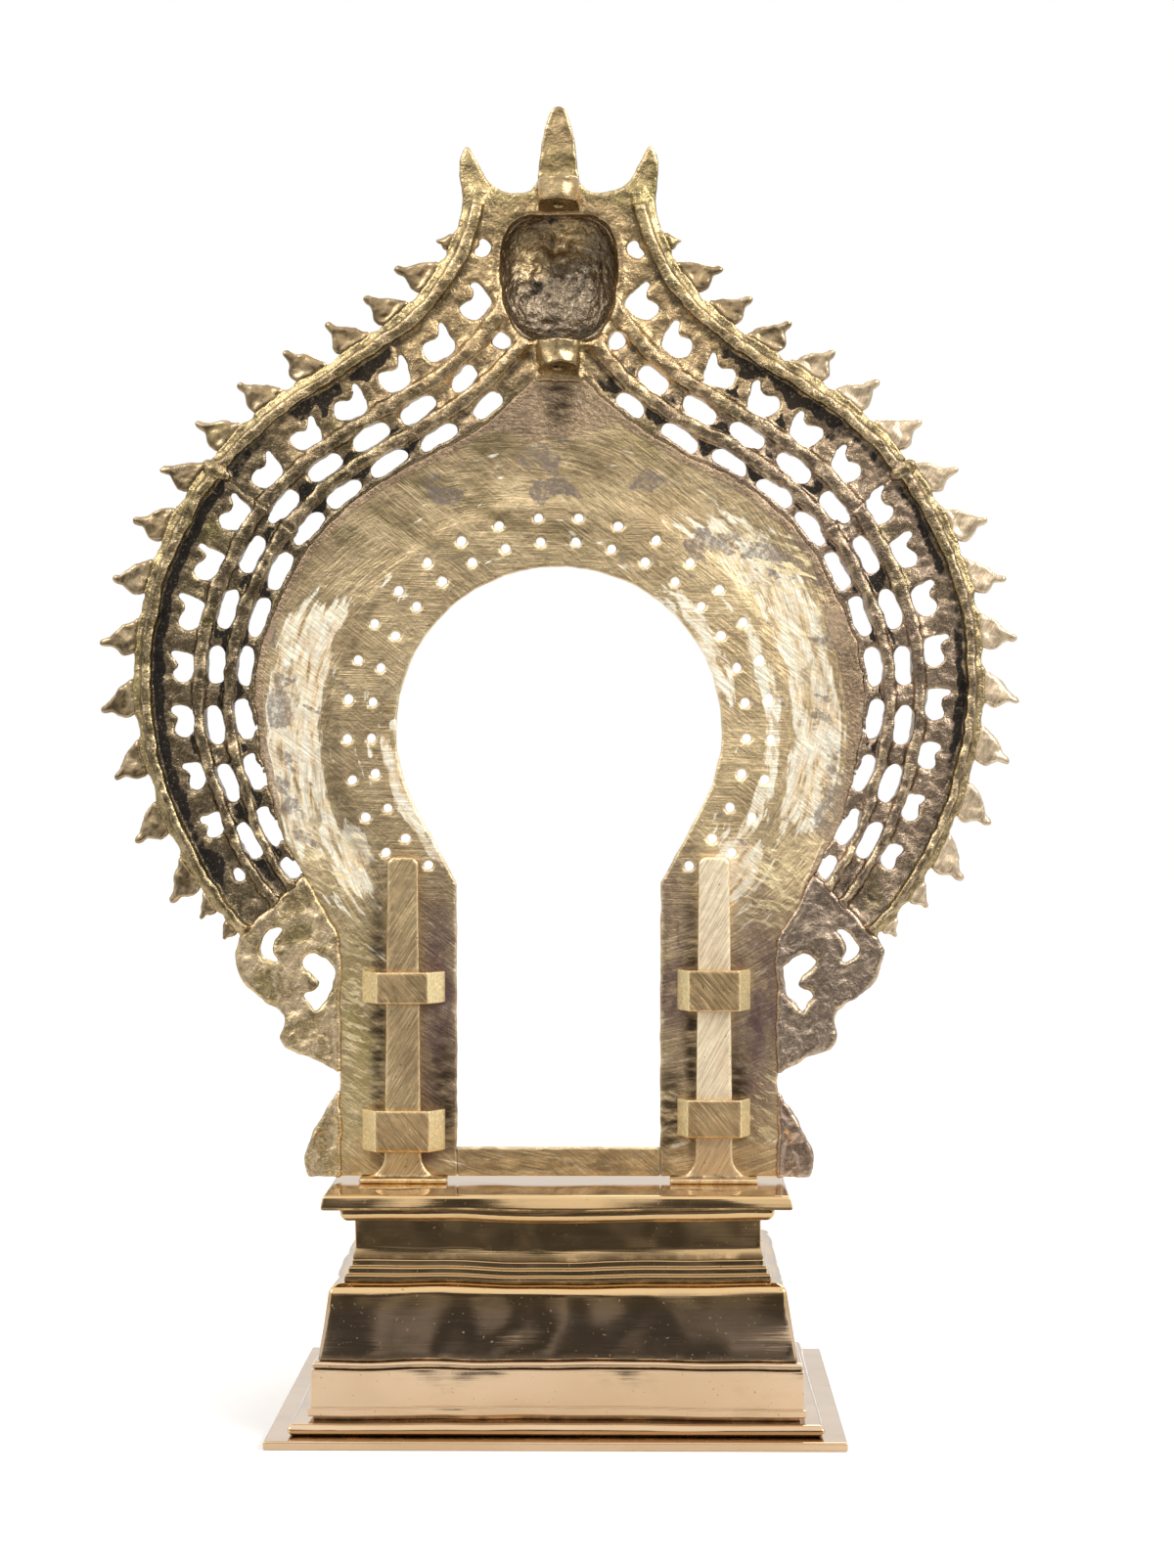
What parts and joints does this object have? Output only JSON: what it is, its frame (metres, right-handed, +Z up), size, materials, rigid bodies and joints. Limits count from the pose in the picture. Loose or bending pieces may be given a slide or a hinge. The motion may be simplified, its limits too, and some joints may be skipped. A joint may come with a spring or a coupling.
{
  "type": "prabhavali",
  "caption": "Brass halo arch with pierced openwork and flame rim, keyhole opening and keepers that slip over tangs on a stepped pedestal.",
  "frame": {"origin": "centre of the underside of the foot plate, on the floor", "axes": "+Z up, +X to the right in the picture, -Y towards the rear face that the picture shows, +Y towards the ornamented front"},
  "size_m": [0.3755, 0.206, 0.5364],
  "materials": {
    "polished_brass": "hand polished, with soft reflections",
    "filed_bar_brass": "filed, with diagonal file marks",
    "filed_plate_brass": "filed and scraped, with brown oxide and pits",
    "cast_brass": "cast skin with dark grime in the hollows"
  },
  "bodies": {
    "pedestal": {"foot_plate": "polished_brass", "foot_moulding": "polished_brass", "plinth_band": "polished_brass", "plinth_roll": "polished_brass", "sloping_band": "polished_brass", "step_fillets": "polished_brass", "neck_band": "polished_brass", "cornice": "polished_brass", "deck_plate": "polished_brass", "left_tang": "filed_bar_brass", "right_tang": "filed_bar_brass"},
    "arch": {"halo_plate": "filed_plate_brass", "sill_bar": "filed_plate_brass", "left_frame": "cast_brass", "right_frame": "cast_brass", "crest_frame": "cast_brass", "left_flames": "cast_brass", "right_flames": "cast_brass", "left_makara": "cast_brass", "right_makara": "cast_brass", "left_foot_leaf": "cast_brass", "right_foot_leaf": "cast_brass", "face_boss": "cast_brass", "centre_finial": "cast_brass", "upper_lug": "cast_brass", "lower_lug": "cast_brass", "left_upper_keeper": "filed_bar_brass", "right_upper_keeper": "filed_bar_brass", "left_lower_keeper": "filed_bar_brass", "right_lower_keeper": "filed_bar_brass"}
  },
  "joints": [
    {"name": "arch_lift", "type": "slide", "parent": "pedestal", "child": "arch", "axis": [0, 0, 1], "range_m": [0, 0.135]}
  ]
}
